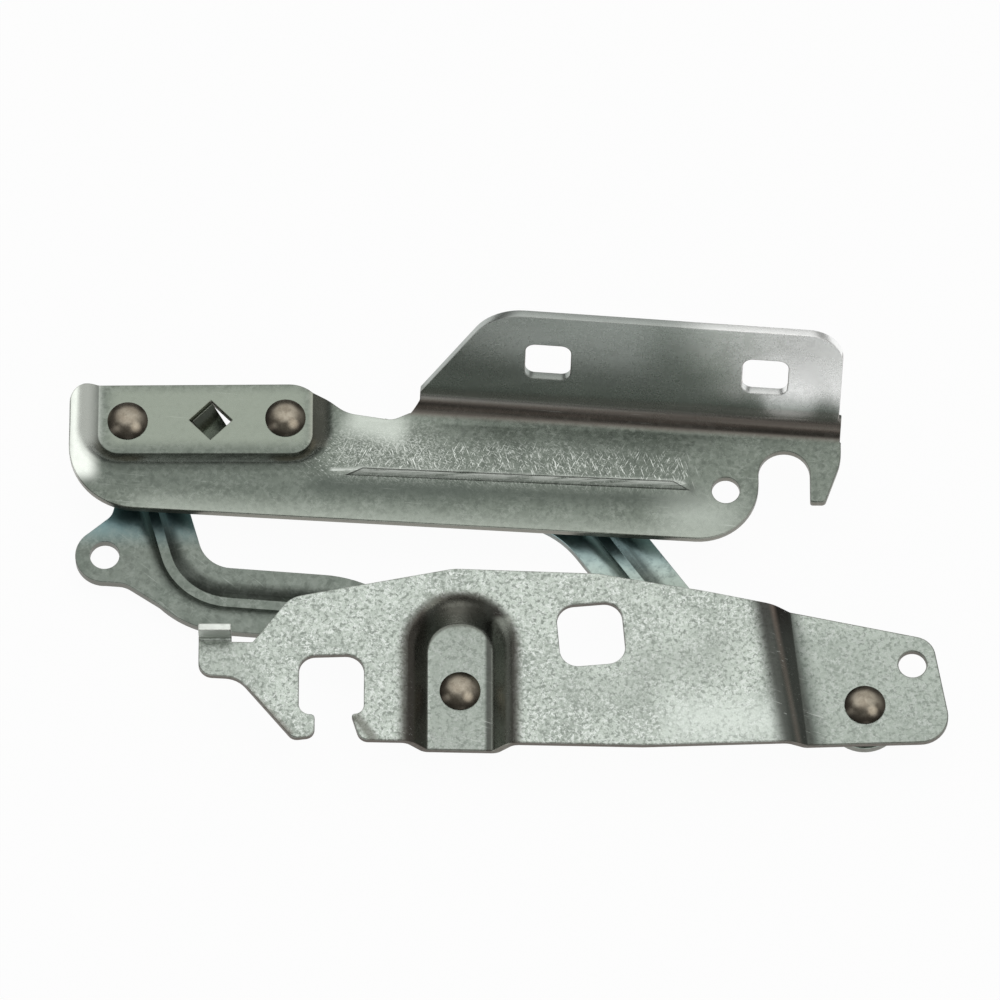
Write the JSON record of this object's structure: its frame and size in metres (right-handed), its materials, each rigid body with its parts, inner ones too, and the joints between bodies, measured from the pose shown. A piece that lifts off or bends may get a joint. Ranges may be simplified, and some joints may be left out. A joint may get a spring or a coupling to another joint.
{
  "type": "bonnet hinge",
  "caption": "Pressed-steel bonnet hinge: a body bracket and a flanged bonnet bracket joined by beaded links on riveted pivots, so that the bonnet bracket swings up and open.",
  "frame": {"origin": "centre of the square body bolt hole in the lower bracket, on the face that lies against the body", "axes": "+X along the hinge towards the stepped end, +Y from the body towards the bonnet, +Z out of the body face, along the pivots"},
  "size_m": [0.2763, 0.1336, 0.0531],
  "materials": {
    "lower_plate": "zinc plated, mottled",
    "upper_plate": "zinc plated, scuffed on the ridge",
    "link_steel": "zinc plated, blue passivated",
    "rivet_steel": "bare, formed",
    "bush_bronze": "plain bearing",
    "washer_steel": "plain"
  },
  "bodies": {
    "lower": {"lower_bracket": "lower_plate", "lower_left_rivet": "rivet_steel", "lower_right_rivet": "rivet_steel", "lower_left_spacer": "washer_steel", "lower_right_spacer": "washer_steel", "lower_left_washer": "washer_steel", "lower_right_washer": "washer_steel"},
    "gooseneck": {"gooseneck_link": "link_steel", "lower_left_bush": "bush_bronze"},
    "long": {"long_link": "link_steel", "lower_right_bush": "bush_bronze", "upper_right_bush": "bush_bronze"},
    "upper": {"upper_bracket": "upper_plate", "upper_left_rivet": "rivet_steel", "upper_right_rivet": "rivet_steel", "upper_left_spacer": "washer_steel", "upper_right_spacer": "washer_steel", "upper_left_washer": "washer_steel", "upper_right_washer": "washer_steel", "upper_left_bush": "bush_bronze"}
  },
  "joints": [
    {"name": "long_link_turn", "type": "hinge", "parent": "lower", "child": "long", "pos_m": [0.0855, -0.0225, -0.01215], "axis": [0, 0, -1], "range_deg": [0, 30.74]},
    {"name": "upper_turn", "type": "hinge", "parent": "long", "child": "upper", "pos_m": [-0.0965, 0.0775, -0.01215], "axis": [0, 0, 1], "range_deg": [0, 68.1]},
    {"name": "gooseneck_turn", "type": "hinge", "parent": "lower", "child": "gooseneck", "pos_m": [-0.041, -0.0165, -0.01215], "axis": [0, 0, -1], "range_deg": [0, 40.5]}
  ],
  "couplings": [
    {"joint": "upper_turn", "follows": "long_link_turn", "ratio": 2.2132},
    {"joint": "gooseneck_turn", "follows": "long_link_turn", "ratio": 1.3145}
  ]
}
